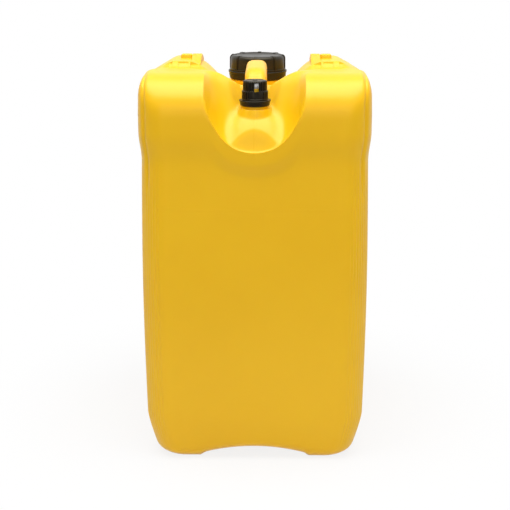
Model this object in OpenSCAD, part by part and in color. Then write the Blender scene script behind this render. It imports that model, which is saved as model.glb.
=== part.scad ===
// Stackable motor oil jerry can: a blow moulded tank with its grip moulded in, a wide
// filler neck at the back and a narrow vent neck in a scoop at the front. Each neck has
// a screw cap, a seal under the cap and a tamper band that stays on the neck.
// +Z is up, the vent end faces -Y, and the origin is the middle of the base on the floor.

/* [Tank] */
// Width across the shoulders
body_w = 241; // [225:1:260]
// Depth from the vent end to the filler end
body_d = 290; // [280:1:320]
// Height of the shoulders above the floor
shoulder_h = 417; // [395:1:440]
// Plan radius of the four upright corners
corner_r = 28; // [22:1:34]
// Wall thickness of the moulding
wall = 2.4; // [1.8:0.1:3]

/* [Shoulders and panels] */
// Run of the rounding along the two sides
side_round = 16; // [13:1:22]
// Run of the rounding at the two ends
end_round = 45; // [38:1:50]
// Drop of the rounding from the shoulder to the upright wall
round_drop = 40; // [34:1:46]
// Depth of the panels below the shoulder band
panel_recess = 2.7; // [1:0.1:4]
// Outward belly of the panels at mid height
panel_bulge = 1.8; // [0:0.1:3]
// Height of the shoulder band under the rounding
band_h = 48; // [40:1:56]

/* [Base] */
// Radius between the foot and the wall
foot_r = 10; // [7:1:13]
// Inward run of the steep chamfer along the sides
chamfer_side = 12; // [8:1:15]
// Inward run of the chamfer at the ends
chamfer_end = 5; // [3:1:9]
// Height of the chamfer
chamfer_h = 48; // [38:1:60]
// Width of the channel between the feet
channel_w = 112; // [100:1:124]
// Step from the feet into the channel
channel_step = 3; // [2:0.5:5]
// Rise of the channel's arch above its step
channel_arch = 8; // [5:0.5:11]

/* [Stacking rails] */
// Rise of the rails above the shoulders
rail_rise = 6; // [4:0.5:9]
// Half width over the two rails at their top
rail_out = 88; // [84:1:92]
// Length of the rails
rail_l = 120; // [100:1:140]
// Rise of the locking block above its rail
block_rise = 4.5; // [3:0.5:6]
// Width of the locking block
block_w = 23; // [18:1:26]
// Length of the locking block
block_l = 62; // [50:1:76]

/* [Hand valley] */
// Width of the valley at the top of the rails
valley_w = 114; // [106:1:120]
// Rise of the valley's walls for each millimetre sideways
valley_slope = 1.25; // [1.1:0.05:1.5]
// Depth of the valley's floor below the shoulders, under the grip
hand_drop = 54; // [50:1:60]
// Depth of the filler pad below the shoulders
pad_drop = 36; // [33:1:40]
// Distance of the filler pad's front edge from the filler axis
pad_front = 42; // [40:1:48]
// Length of the ramp from the valley's floor up to the filler pad
pad_ramp = 32; // [24:1:40]

/* [Scoop] */
// Depth of the scoop's lip below the shoulders, on the front face
lip_drop = 76; // [66:1:84]
// Depth of the saddle between scoop and valley below the shoulders
saddle_drop = 16; // [12:1:20]
// Distance of the saddle from the front
saddle_in = 58; // [54:1:62]
// Curvature of the scoop's lip seen from the front
lip_curve = 0.0215; // [0.018:0.0005:0.026]
// Radius of the vent pedestal
pedestal_r = 35; // [32:1:36]

/* [Grip] */
// Width of the grip
grip_w = 23; // [20:1:26]
// Height of the grip's section
grip_t = 22; // [19:1:24]
// Distance of the grip's front leg behind the saddle
grip_front = 15; // [13:1:20]
// Distance of the grip's rear leg in front of the filler axis
grip_back = 55; // [51:1:60]
// Radius of the grip's bends, at its centre line
grip_bend = 20; // [16:1:24]

/* [Filler neck] */
// Distance of the filler axis from the back
filler_back = 62; // [58:1:68]
// Outside diameter of the filler neck
filler_od = 58; // [56:0.5:60]
// Bore of the filler neck
filler_bore = 51; // [48:0.5:53]
// Height of the filler neck above its pad
filler_h = 30; // [28:0.5:33]
// Diameter of the filler cap's skirt
cap_d = 65.4; // [64:0.2:67]
// Thickness of the filler cap's top
cap_top = 2; // [1.8:0.1:3.5]
// Number of ribs on the filler cap
cap_ribs = 8; // [6:1:12]
// Height of the filler's tamper band
band_filler_h = 9.6; // [8:0.2:11]
// Outside diameter of the filler's tamper band
band_filler_d = 68.6; // [67:0.2:71]
// Thickness of the filler seal
seal_t = 1.6; // [1.2:0.1:2.4]

/* [Vent neck] */
// Distance of the vent axis from the front
vent_front = 36; // [34:1:38]
// Outside diameter of the vent neck
vent_od = 20; // [18:0.5:21]
// Bore of the vent neck
vent_bore = 15; // [12:0.5:16]
// Height of the vent neck above the pedestal
vent_h = 20.5; // [19:0.5:21.5]
// Diameter of the vent cap's lower tier
tier_low_d = 27; // [26:0.2:28]
// Diameter of the vent cap's upper tier
tier_top_d = 24.8; // [23.6:0.2:25.6]
// Height of the vent cap's lower tier
tier_low_h = 9.4; // [8:0.2:11]
// Height of the vent cap's upper tier
tier_top_h = 10.4; // [9:0.2:12]
// Number of grip ribs round the vent cap
vent_ribs = 32; // [24:2:40]
// Width of the window in the vent cap
window_w = 4.6; // [3:0.2:6]
// Height of the window in the vent cap
window_h = 8.8; // [6:0.2:9.4]
// Gap under the plug's flange, above the vent neck's rim
plug_lift = 2.4; // [1:0.1:3]
// Reach of the plug's stem into the vent neck
stem_l = 6; // [4:0.5:7]
// Outside diameter of the vent's tamper band
band_vent_d = 32.6; // [31:0.2:34]
// Height of the vent's tamper band
band_vent_h = 5.8; // [5:0.2:7]

/* [Fits] */
// Running clearance between a cap and its neck, on the radius
run = 0.4; // [0.3:0.05:0.6]
// Gap between faces that meet when a cap is closed
seat = 0.2; // [0.1:0.05:0.3]

/* [Hidden] */
$fn = 96;
eps = 0.01;

half_w = body_w / 2;
half_d = body_d / 2;
edge_z = shoulder_h - round_drop;
panel_top = edge_z - band_h;
rail_z = shoulder_h + rail_rise;
hand_z = shoulder_h - hand_drop;
pad_z = shoulder_h - pad_drop;
lip_z = shoulder_h - lip_drop;
saddle_z = shoulder_h - saddle_drop;
saddle_y = -half_d + saddle_in;
filler_y = half_d - filler_back;
vent_y = -half_d + vent_front;
pedestal_z = pad_z + 1;

// Height of the collar that carries each tamper band, above its pad
filler_collar_h = 6.6;
vent_collar_h = 2.4;
filler_rim = pad_z + filler_h;
vent_rim = pedestal_z + vent_h;

// Smooth steps, minima and maxima that blend one moulded form into the next
function clamp01(t) = max(0, min(1, t));
function ease(a, b, t) = let (k = clamp01((t - a) / (b - a))) k * k * (3 - 2 * k);
function smin(a, b, k) = let (h = max(k - abs(a - b), 0) / k) min(a, b) - h * h * k / 4;
function smax(a, b, k) = -smin(-a, -b, k);
function soft(t, k) = (t + sqrt(t * t + k * k)) / 2;

// The shoulders: a flat deck rounded down to the upright walls on all four sides
function shoulder(x, y) =
    let (dx = clamp01((abs(x) - half_w + side_round) / side_round),
         dy = clamp01((abs(y) - half_d + end_round) / end_round))
    edge_z + round_drop * pow(1 - pow(dx, 3.5), 1 / 3.5) * sqrt(1 - dy * dy);

// The two rails that carry the feet of the can above
function rails(x, y) =
    rail_rise * ease(rail_out + 18, rail_out, abs(x)) * ease(rail_l / 2 + 24, rail_l / 2, abs(y));

// The scoop in the front shoulder: a lip that curves up to both sides, walls that
// stand off the pedestal, and a floor that climbs to the saddle
function scoop(x, y) =
    let (s = max(0, (y + half_d) / saddle_in),
         deep = ease(0.1, 0.62, s))
    lip_z + (saddle_z - lip_z) * pow(s, 1.6)
    + (1 - deep) * lip_curve * x * x + deep * 1.25 * soft(abs(x) - 24, 10);

// The valley for the hand, which ends in the filler pad and runs out at the back
function valley_floor(y) =
    hand_z + 1.25 * soft(saddle_y + 30 - y, 12)
    + (pad_z - hand_z) * ease(filler_y - pad_front - pad_ramp, filler_y - pad_front, y);
function valley(x, y) =
    smax(valley_floor(y) + lip_curve * x * x * ease(saddle_y + 32, saddle_y, y),
         rail_z - valley_slope * (valley_w / 2 - abs(x)), 12);
function filler_pocket(x, y) =
    pad_z + 2.2 * soft(norm([x, y - filler_y]) - band_filler_d / 2 - 7, 5);

function vent_pocket(x, y) =
    pedestal_z + 2.2 * soft(norm([x, y - vent_y]) - band_vent_d / 2 - 4.5, 3);

// The pedestal under the vent neck: flat on top, falling away to a steep front
function pedestal(x, y) =
    let (q = norm([x, y - vent_y]) / pedestal_r)
    pedestal_z - 34 * pow(max(0, q - 0.5) / 0.5, 2.2) - 100 * max(0, q - 1);

// The whole top of the moulding
function deck(x, y) =
    let (pockets = min(filler_pocket(x, y), vent_pocket(x, y)),
         open = smin(smin(scoop(x, y), valley(x, y), 12), pockets, 6))
    smax(smin(shoulder(x, y) + rails(x, y), open, 9), pedestal(x, y), 5);

// Grid lines: close over the moulded forms and the rounded edges, wide elsewhere
n_edge = 5;
function steps(a, b, n) = [for (i = [0 : n - 1]) a + (b - a) * i / n];
function edge_lines(half, run_in) = [for (i = [0 : n_edge]) half - run_in + run_in * sin(90 * i / n_edge)];
function turned(list) = [for (i = [len(list) - 1 : -1 : 0]) -list[i]];
valley_edge = valley_w / 2 + 3;
half_xs = concat(steps(6, valley_edge, 8), steps(valley_edge, half_w - corner_r, 3),
                 edge_lines(half_w, corner_r));
front_ys = turned(edge_lines(half_d, end_round));
xs = concat(turned(half_xs), [0], half_xs);
ys = concat(front_ys, steps(-half_d + end_round + 6, saddle_y + 30, 5),
            steps(saddle_y + 30, half_d - end_round, 13), edge_lines(half_d, end_round));
nx = len(xs) - 1;
ny = len(ys) - 1;
rim_n = 2 * (nx + ny);

// Pull the square corners of the grid in to the rounded plan
function round_plan(x, y) =
    let (s = max(0, (abs(x) - half_w + corner_r) / corner_r),
         t = max(0, (abs(y) - half_d + corner_r) / corner_r))
    [sign(x) * (abs(x) - corner_r * s * (1 - sqrt(1 - t * t / 2))),
     sign(y) * (abs(y) - corner_r * t * (1 - sqrt(1 - s * s / 2)))];

// Inset of the wall from the shoulder outline at a height
function foot_in(z) = z < foot_r ? foot_r - sqrt(foot_r * foot_r - pow(foot_r - z, 2)) : 0;
function panel_in(z) =
    panel_recess * ease(panel_top + 30, panel_top, z)
    - panel_bulge * sin(180 * clamp01((z - chamfer_h) / (panel_top - chamfer_h)));
function side_in(z) = panel_in(z) + foot_in(z) + chamfer_side * pow(max(0, 1 - z / chamfer_h), 1.25);
function end_in(z) = panel_in(z) + foot_in(z) + chamfer_end * pow(max(0, 1 - z / chamfer_h), 1.25);

// Underside: flat feet with an arched channel between them
function channel(x) =
    let (h = channel_w / 2)
    ease(h + 4, h - 2, abs(x)) * (channel_step + channel_arch * (1 - pow(min(1, abs(x) / h), 2)));

// Heights of the rings that make the wall, from the top down: fine outside, coarse inside
function levels(fine) = concat(
    [for (i = [1 : fine ? 3 : 1]) edge_z - i * (edge_z - panel_top) / (fine ? 3 : 1)],
    [for (i = [1 : fine ? 4 : 2]) panel_top - i * (panel_top - chamfer_h) / (fine ? 4 : 2)],
    [for (i = [1 : fine ? 2 : 1]) chamfer_h - i * (chamfer_h - foot_r) / (fine ? 2 : 1)],
    [foot_r * 0.5, foot_r * 0.134, 0]);

// Rim point p counts anticlockwise from the front left corner of the grid
function rim_ij(p) =
    p < nx ? [p, 0] : p < nx + ny ? [nx, p - nx]
    : p < 2 * nx + ny ? [2 * nx + ny - p, ny] : [0, rim_n - p];

// A closed skin of the tank, drawn in by t from the outside of the moulding
function skin_top(x, y, t) =
    t == 0 ? deck(x, y)
    : min(deck(x, y), deck(x - t, y), deck(x + t, y), deck(x, y - t), deck(x, y + t)) - t;
function skin_point(x, y, z, t) =
    let (p = round_plan(x, y))
    [p[0] * (half_w - side_in(z) - t) / half_w, p[1] * (half_d - end_in(z) - t) / half_d];
function ring_point(x, y, z, t) =
    let (p = skin_point(x, y, z, t),
         low = panel_top - 40,
         top = skin_top(x, y, t),
         lift = (channel(p[0]) + t) * max(0, 1 - z / chamfer_h))
    [p[0], p[1], z > low ? low + (z - low) * (top - low) / (edge_z - low) : z + lift];

module skin(t) {
    rows = levels(t == 0);
    n_rings = len(rows);
    top_n = (nx + 1) * (ny + 1);
    function top_id(i, j) = i * (ny + 1) + j;
    function wall_id(r, p) =
        let (q = p % rim_n, c = rim_ij(q)) r == 0 ? top_id(c[0], c[1]) : top_n + (r - 1) * rim_n + q;
    foot_x = channel_w / 2 + 4;
    shrink = (half_w - side_in(0) - t) / half_w;
    i_right = min([for (i = [0 : nx]) if (xs[i] * shrink >= foot_x) i]);
    i_left = nx - i_right;
    function back_p(i) = 2 * nx + ny - i;
    polyhedron(
        points = concat(
            [for (x = xs, y = ys) concat(skin_point(x, y, edge_z, t), skin_top(x, y, t))],
            [for (z = rows, p = [0 : rim_n - 1])
                let (c = rim_ij(p)) ring_point(xs[c[0]], ys[c[1]], z, t)]),
        faces = concat(
            [for (i = [0 : nx - 1], j = [0 : ny - 1], half = [0, 1])
                half == 0 ? [top_id(i, j), top_id(i, j + 1), top_id(i + 1, j + 1)]
                : [top_id(i, j), top_id(i + 1, j + 1), top_id(i + 1, j)]],
            [for (r = [0 : n_rings - 1], p = [0 : rim_n - 1], half = [0, 1])
                half == 0 ? [wall_id(r, p), wall_id(r, p + 1), wall_id(r + 1, p + 1)]
                : [wall_id(r, p), wall_id(r + 1, p + 1), wall_id(r + 1, p)]],
            [for (i = [i_left : i_right - 1])
                [wall_id(n_rings, i), wall_id(n_rings, i + 1),
                 wall_id(n_rings, back_p(i + 1)), wall_id(n_rings, back_p(i))]],
            [[for (p = [i_right : back_p(i_right)]) wall_id(n_rings, p)],
             [for (p = [back_p(i_left) : rim_n + i_left]) wall_id(n_rings, p)]]));
}

// The grip is a tube with a rounded square section, swept along an arch
grip_front_y = saddle_y + grip_front;
grip_back_y = filler_y - grip_back;
grip_mid_y = (grip_front_y + grip_back_y) / 2;
grip_z = shoulder_h - grip_t / 2;
grip_foot_z = hand_z - 6;
grip_sides = 16;
function grip_path() =
    let (h = (grip_back_y - grip_front_y) / 2)
    concat([[-h, grip_foot_z, 90]],
           [for (a = [0 : 22.5 : 90])
               [-h + grip_bend * (1 - cos(a)), grip_z - grip_bend + grip_bend * sin(a), 90 - a]],
           [[0, grip_z, 0]],
           [for (a = [90 : -22.5 : 0])
               [h - grip_bend * (1 - cos(a)), grip_z - grip_bend + grip_bend * sin(a), a - 90]],
           [[h, grip_foot_z, -90]]);
function square_round(a) =
    let (c = cos(a), s = sin(a), k = pow(pow(abs(c), 3.2) + pow(abs(s), 3.2), -1 / 3.2)) [c * k, s * k];

module grip(t) {
    path = grip_path();
    n = len(path);
    translate([0, grip_mid_y, 0])
    polyhedron(
        points = [for (p = path, i = [0 : grip_sides - 1])
            let (q = square_round(360 * (i + 0.5) / grip_sides),
                 u = q[0] * (grip_w / 2 - t), v = q[1] * (grip_t / 2 - t))
            [u, p[0] - v * sin(p[2]), p[1] + v * cos(p[2])]],
        faces = concat(
            [[for (i = [grip_sides - 1 : -1 : 0]) i]],
            [for (k = [0 : n - 2], i = [0 : grip_sides - 1], half = [0, 1])
                let (a = k * grip_sides + i, b = k * grip_sides + (i + 1) % grip_sides)
                half == 0 ? [a, b + grip_sides, a + grip_sides] : [a, b, b + grip_sides]],
            [[for (i = [0 : grip_sides - 1]) (n - 1) * grip_sides + i]]));
}

// A locking block on each rail: a step at its outer half, a ramp at its inner half
module blocks() {
    inner_x = valley_w / 2 + 2;
    split = block_w * 0.48;
    back = block_l - 12;
    top = rail_z + block_rise;
    for (side = [0, 1])
        mirror([side, 0, 0])
        rotate([90, 0, 90]) {
            translate([0, 0, inner_x])
                linear_extrude(split)
                polygon([[-rail_l / 2 + 4, rail_z - 3], [-12, top], [back, top], [back + 5, rail_z - 3]]);
            translate([0, 0, inner_x + split - eps])
                linear_extrude(block_w - split)
                polygon([[-13, rail_z - 3], [-12, top], [back, top], [back + 5, rail_z - 3]]);
        }
}

// A neck with the collar that its tamper band rests on, rooted a little below its pad
neck_root = 3;
module neck(od, h, collar_h, band_d) {
    translate([0, 0, -neck_root]) {
        cylinder(d = od, h = h + neck_root);
        cylinder(d = band_d - 5, h = collar_h + neck_root);
    }
}

module tank() {
    color("gold")
    difference() {
        union() {
            skin(0);
            grip(0);
            blocks();
            translate([0, filler_y, pad_z])
                neck(filler_od, filler_h, filler_collar_h, band_filler_d);
            translate([0, vent_y, pedestal_z])
                neck(vent_od, vent_h, vent_collar_h, band_vent_d);
        }
        skin(wall);
        grip(wall);
        translate([0, filler_y, pad_z - 12])
            cylinder(d = filler_bore, h = filler_h + 20);
        translate([0, vent_y, pedestal_z - 14])
            cylinder(d = vent_bore, h = vent_h + 24);
    }
}

// Tamper bands: plain rings that sit on the necks' collars
filler_band_z = pad_z + filler_collar_h + seat;
vent_band_z = pedestal_z + vent_collar_h + seat;
module filler_band() {
    color("#1b1a18")
    translate([0, filler_y, filler_band_z])
    difference() {
        cylinder(d = band_filler_d, h = band_filler_h);
        translate([0, 0, -1])
            cylinder(d = filler_od + 2 * run, h = band_filler_h + 2);
    }
}
module vent_band() {
    color("#1b1a18")
    translate([0, vent_y, vent_band_z])
    difference() {
        cylinder(d = band_vent_d, h = band_vent_h);
        translate([0, 0, -1])
            cylinder(d = vent_od + 2 * run, h = band_vent_h + 2);
    }
}

// Filler cap: ribbed skirt with a bevelled top edge, hollow below
filler_cap_z = filler_band_z + band_filler_h + seat;
filler_seal_z = filler_rim + seat;
filler_cap_roof = filler_seal_z + seal_t + seat;
filler_cap_top = filler_cap_roof + cap_top;
module filler_cap() {
    rib_w = 4;
    rib_out = 0.9;
    color("#1b1a18")
    translate([0, filler_y, 0])
    difference() {
        union() {
            rotate_extrude()
                polygon([[0, filler_cap_z], [cap_d / 2, filler_cap_z], [cap_d / 2, filler_cap_top - 3.5],
                         [cap_d / 2 - 4, filler_cap_top], [0, filler_cap_top]]);
            for (i = [0 : cap_ribs - 1])
                rotate(360 * (i + 0.35) / cap_ribs)
                translate([cap_d / 2 - 3, -rib_w / 2, filler_cap_z])
                cube([3 + rib_out, rib_w, filler_cap_top - filler_cap_z - 3.8]);
        }
        translate([0, 0, filler_cap_z - 1])
            cylinder(d = filler_od + 2 * run, h = filler_cap_roof - filler_cap_z + 1);
    }
}
module filler_seal() {
    color("whitesmoke")
    translate([0, filler_y, filler_seal_z])
        cylinder(d = filler_od - 1, h = seal_t);
}

// Vent cap: two ribbed tiers, the upper one with a window to the white plug
vent_cap_z = vent_band_z + band_vent_h + seat;
vent_tier_z = vent_cap_z + tier_low_h;
vent_cap_top = vent_tier_z + tier_top_h;
vent_cap_roof = 2;
plug_top = vent_cap_top - vent_cap_roof - seat;
module ribs_cut(d, z, h, n) {
    for (i = [0 : n - 1])
        rotate(360 * i / n)
        translate([d / 2 - 0.6, -0.5, z])
        cube([2, 1, h]);
}
module vent_cap() {
    color("#1b1a18")
    translate([0, vent_y, 0])
    difference() {
        union() {
            translate([0, 0, vent_cap_z])
                cylinder(d = tier_low_d, h = tier_low_h);
            translate([0, 0, vent_tier_z - eps])
                cylinder(d = tier_top_d, h = tier_top_h + eps);
        }
        ribs_cut(tier_low_d, vent_cap_z + 1, tier_low_h - 2, vent_ribs);
        ribs_cut(tier_top_d, vent_tier_z + 0.8, tier_top_h, vent_ribs);
        translate([0, 0, vent_cap_z - 1])
            cylinder(d = vent_od + 2 * run, h = vent_cap_top - vent_cap_roof - vent_cap_z + 1);
        translate([-0.4, -tier_top_d, vent_cap_top - vent_cap_roof - window_h])
            cube([window_w, tier_top_d, window_h]);
    }
}
module vent_plug() {
    color("whitesmoke")
    translate([0, vent_y, 0])
    rotate_extrude()
        polygon([[0, vent_rim - stem_l], [vent_bore / 2 - run, vent_rim - stem_l],
                 [vent_bore / 2 - run, vent_rim + plug_lift], [vent_od / 2 - 0.1, vent_rim + plug_lift],
                 [vent_od / 2 - 0.1, plug_top], [0, plug_top]]);
}

tank();
filler_cap();
filler_seal();
filler_band();
vent_cap();
vent_plug();
vent_band();
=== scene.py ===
import math

import bmesh
import bpy
import numpy as np
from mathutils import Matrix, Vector


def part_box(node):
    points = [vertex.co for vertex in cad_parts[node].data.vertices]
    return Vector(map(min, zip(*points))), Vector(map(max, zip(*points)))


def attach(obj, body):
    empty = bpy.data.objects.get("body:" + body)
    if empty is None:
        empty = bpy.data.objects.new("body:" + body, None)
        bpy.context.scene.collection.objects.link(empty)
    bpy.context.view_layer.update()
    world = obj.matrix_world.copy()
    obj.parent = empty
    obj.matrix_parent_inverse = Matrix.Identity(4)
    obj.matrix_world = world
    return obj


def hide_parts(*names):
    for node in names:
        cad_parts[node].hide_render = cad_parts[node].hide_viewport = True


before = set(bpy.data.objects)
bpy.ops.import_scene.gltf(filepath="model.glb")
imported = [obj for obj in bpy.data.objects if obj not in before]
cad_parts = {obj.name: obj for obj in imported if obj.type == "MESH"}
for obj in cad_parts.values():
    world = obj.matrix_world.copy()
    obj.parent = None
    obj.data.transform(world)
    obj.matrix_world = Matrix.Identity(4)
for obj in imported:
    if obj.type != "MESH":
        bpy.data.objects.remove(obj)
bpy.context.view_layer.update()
MM = 0.001


def node_box(node):
    """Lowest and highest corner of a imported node, in millimetres."""
    return [np.array(corner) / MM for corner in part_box(node)]


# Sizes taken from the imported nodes
tank_low, tank_high = node_box("tank")
cap_low, cap_high = node_box("filler_cap")
ring_low, ring_high = node_box("filler_band")
vent_low, vent_high = node_box("vent_cap")
collar_low, collar_high = node_box("vent_band")
plug_low, plug_high = node_box("vent_plug")
seal_low, seal_high = node_box("filler_seal")

half_w = tank_high[0]
half_d = tank_high[1]
rail_rise = 6
block_rise = 4.5
shoulder_h = tank_high[2] - rail_rise - block_rise
filler_y = (ring_low[1] + ring_high[1]) / 2
vent_y = (collar_low[1] + collar_high[1]) / 2

# Sizes of the moulding: those of the part's source, or fitted closer to the photograph
corner_r = 28
wall = 2.4
side_round = 16
side_power = 3.5
end_round = 45
round_drop = 40
panel_recess = 2.7
panel_bulge = 1.8
band_h = 48
band_fade = 30
rim_reach = 40
foot_r = 13
chamfer_side = 13
chamfer_end = 5
chamfer_h = 48
chamfer_power = 1.25
channel_w = 112
channel_step = 3
channel_arch = 8
channel_out = 4
channel_in = 2
rail_out = 88
rail_front = 50
rail_back = 20
rail_side_run = 18
rail_front_run = 12
rail_back_run = 24
outer_slope = 0.62
outer_from = 4
outer_front_lift = 12
outer_back_slope = 0.08
rear_fall = 13
block_w = 23
block_step = 24
block_l = 36
block_edge = 1.6
valley_w = 114
valley_slope = 1.25
valley_soft = 12
hand_slope = 1.25
hand_front = 30
rear_w = 152
hand_drop = 54
pad_drop = 36
pad_front = 42
pad_ramp = 32
lip_drop = 76
saddle_drop = 16
saddle_in = 58
saddle_curve = 0.0205
scoop_curve = 0.0095
scoop_bend = 3.8e-6
scoop_w = 92
scoop_flare = 0.19
scoop_power = 1.3
scoop_flat = 17
scoop_soft = 10
pedestal_r = 35
boss_r = 16.4
boss_slope = 6
nose_half = 17
nose_soft = 12
nose_slope = 0.95
nose_front_drop = 28
face_drop = 18
face_slope = 4.2
face_ahead = 27.5
face_bow = 0.004
sink_slope = 2.2
filler_sink = 7
vent_sink = 4.5
crest_front = 9
crest_rise = 13
grip_w = 23
grip_t = 22
grip_front = 15
grip_back = 55
grip_bend = 20
grip_power = 3.2
filler_od = 58
filler_bore = 51
filler_h = 30
filler_collar_h = 6.6
vent_od = 20
vent_bore = 15
vent_h = 20.5
vent_collar_h = 2.4
collar_inset = 2.5
thread_depth = 1.1
fit_gap = 0.4

# Fine detail that only the finish carries: upright flutes and a crease in each corner,
# recesses in the front ends of the rails, and fillets at the legs of the grip
flute_depth = 0.5
flute_pitch = 7.3
flute_spread = 2.0
flute_first = 19.5
flute_count = 8
flute_top = 322
flute_fade = 30
flute_low_start = 8
flute_low_end = 40
crease_depth = 2.0
crease_at = 48.7
crease_spread = 5.0
crease_run = 40
crease_x = 113.3
crease_w = 1.7
crease_far = 62
crease_near = 32
pocket_depth = 1.5
pocket_spans = ((46, 51), (60, 70), (72, 83), (89, 93.5))
root_r = 9
root_corner = 5

edge_z = shoulder_h - round_drop
panel_top = edge_z - band_h
rail_z = shoulder_h + rail_rise
hand_z = shoulder_h - hand_drop
pad_z = shoulder_h - pad_drop
lip_z = shoulder_h - lip_drop
saddle_z = shoulder_h - saddle_drop
saddle_y = -half_d + saddle_in
pedestal_z = pad_z + 1
filler_rim = pad_z + filler_h
vent_rim = pedestal_z + vent_h
grip_z = shoulder_h - grip_t / 2
leg_front_y = saddle_y + grip_front
leg_back_y = filler_y - grip_back
ring_d = ring_high[0] - ring_low[0]
collar_d = collar_high[0] - collar_low[0]


# Smooth steps, minima and maxima that blend one moulded form into the next
def clamp01(t):
    return np.clip(t, 0, 1)


def ease(a, b, t):
    k = clamp01((t - a) / (b - a))
    return k * k * (3 - 2 * k)


def smin(a, b, k):
    h = np.maximum(k - abs(a - b), 0) / k
    return np.minimum(a, b) - h * h * k / 4


def smax(a, b, k):
    return -smin(-a, -b, k)


def soft(t, k):
    return (t + np.sqrt(t * t + k * k)) / 2


# The top of the moulding: shoulders, rails, scoop, valley, pockets and pedestal
def shoulder(x, y):
    dx = clamp01((abs(x) - half_w + side_round) / side_round)
    dy = clamp01((abs(y) - half_d + end_round) / end_round)
    drop = round_drop - rear_fall * clamp01(y / half_d)
    return edge_z + drop * (1 - dx ** side_power) ** (1 / side_power) * np.sqrt(1 - dy * dy)


def rails(x, y):
    across = ease(rail_out + rail_side_run, rail_out, abs(x))
    front = ease(-rail_front - rail_front_run, -rail_front, y)
    along = front * ease(rail_back + rail_back_run, rail_back, y)
    return rail_rise * across * along


def outer_face(x, y):
    """The sloping outer face of the rails, which stops short of the front shoulder."""
    side = outer_slope * (abs(x) - rail_out - outer_from)
    front = outer_front_lift * ease(-rail_front - 8, -rail_front - 36, y)
    return rail_z + 1 - side + front - outer_back_slope * soft(y + 30, 20)


def scoop(x, y):
    """The scoop in the front shoulder: a rounded lip that runs back into the saddle."""
    s = np.maximum(0, (y + half_d) / saddle_in)
    deep = ease(0.35, 1, s)
    flare = scoop_flare * np.maximum(0, abs(x) - scoop_w / 2) ** 2
    lip = scoop_curve * x * x + scoop_bend * x ** 4 + flare
    floor_z = lip_z + (saddle_z - lip_z) * s ** scoop_power
    return floor_z + (1 - deep) * lip + deep * soft(abs(x) - scoop_flat, scoop_soft)


def valley(x, y):
    """The hand valley between the rails, from the saddle to the filler pad and out at the back."""
    ramp = ease(filler_y - pad_front - pad_ramp, filler_y - pad_front, y)
    front_rise = hand_slope * soft(saddle_y + hand_front - y, valley_soft)
    floor_z = hand_z + front_rise + (pad_z - hand_z) * ramp
    floor_z = floor_z + saddle_curve * x * x * ease(saddle_y + 32, saddle_y, y)
    half = valley_w / 2 + (rear_w - valley_w) / 2 * ease(-block_step, half_d - 30, y)
    return smax(floor_z, rail_z - valley_slope * (half - abs(x)), valley_soft)


def sink(x, y, y_axis, z_floor, radius, blend):
    """A round flat place for a tamper band, with sloping sides."""
    return z_floor + sink_slope * soft(np.hypot(x, y - y_axis) - radius, blend)


def pedestal(x, y):
    """A low boss under the vent neck, on a wide nose with a steep front."""
    r = np.hypot(x, y - vent_y)
    boss = pedestal_z - boss_slope * np.maximum(0, r - boss_r)
    ahead = np.minimum(y - vent_y, 0)
    fall = nose_front_drop * (ahead / pedestal_r) ** 2
    nose = pedestal_z - nose_slope * soft(abs(x) - nose_half, nose_soft) - fall
    face = pedestal_z - face_drop - face_slope * (vent_y - face_ahead - face_bow * x * x - y)
    return np.maximum(boss, smin(nose, face, 6))


def leg_root(x, y, y_leg):
    """Height of the fillet where a leg of the grip stands on the moulding."""
    dx = np.maximum(abs(x) - grip_w / 2 + root_corner, 0)
    dy = np.maximum(abs(y - y_leg) - grip_t / 2 + root_corner, 0)
    near = clamp01(1 - (np.hypot(dx, dy) - root_corner) / root_r)
    return root_r * (1 - np.sqrt(1 - near * near))


def deck(x, y):
    """Height of the whole top. The last value of each blend is its width in millimetres."""
    filler_seat = sink(x, y, filler_y, pad_z, ring_d / 2 + filler_sink, 5)
    vent_seat = sink(x, y, vent_y, pedestal_z, collar_d / 2 + vent_sink, 3)
    open_top = smin(smin(scoop(x, y), valley(x, y), 12), filler_seat, 6)
    closed = smin(shoulder(x, y) + rails(x, y), outer_face(x, y), 3)
    crest = crest_front + crest_rise * ease(-half_d + 30, saddle_y, y)
    top = smin(smax(smin(closed, open_top, crest), pedestal(x, y), 10), vent_seat, 3)
    return top + leg_root(x, y, leg_front_y) + leg_root(x, y, leg_back_y)


# The upright walls, as insets from the shoulder outline
def foot_in(z):
    drop = clamp01((foot_r - z) / foot_r)
    return foot_r * (1 - np.sqrt(1 - drop * drop))


def panel_in(z):
    belly = np.sin(math.pi * clamp01((z - chamfer_h) / (panel_top - chamfer_h)))
    return panel_recess * ease(panel_top + band_fade, panel_top, z) - panel_bulge * belly


def wall_in(z, chamfer):
    return panel_in(z) + foot_in(z) + chamfer * np.maximum(0, 1 - z / chamfer_h) ** chamfer_power


def channel(x):
    """Height of the stacking channel under the base, 0 at the feet."""
    h = channel_w / 2
    arch = channel_step + channel_arch * (1 - np.minimum(1, abs(x) / h) ** 2)
    return ease(h + channel_out, h - channel_in, abs(x)) * arch


# Grid lines of the moulding: evenly turned round the corners, closer over the small forms
def spread(start, end, step):
    count = max(1, round(abs(end - start) / step))
    return list(np.linspace(start, end, count, endpoint=False))


def corner_lines(half, turns):
    angles = np.linspace(0, math.pi / 4, turns + 1)
    return list(half - corner_r + corner_r * math.sqrt(2) * np.sin(angles))


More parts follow.
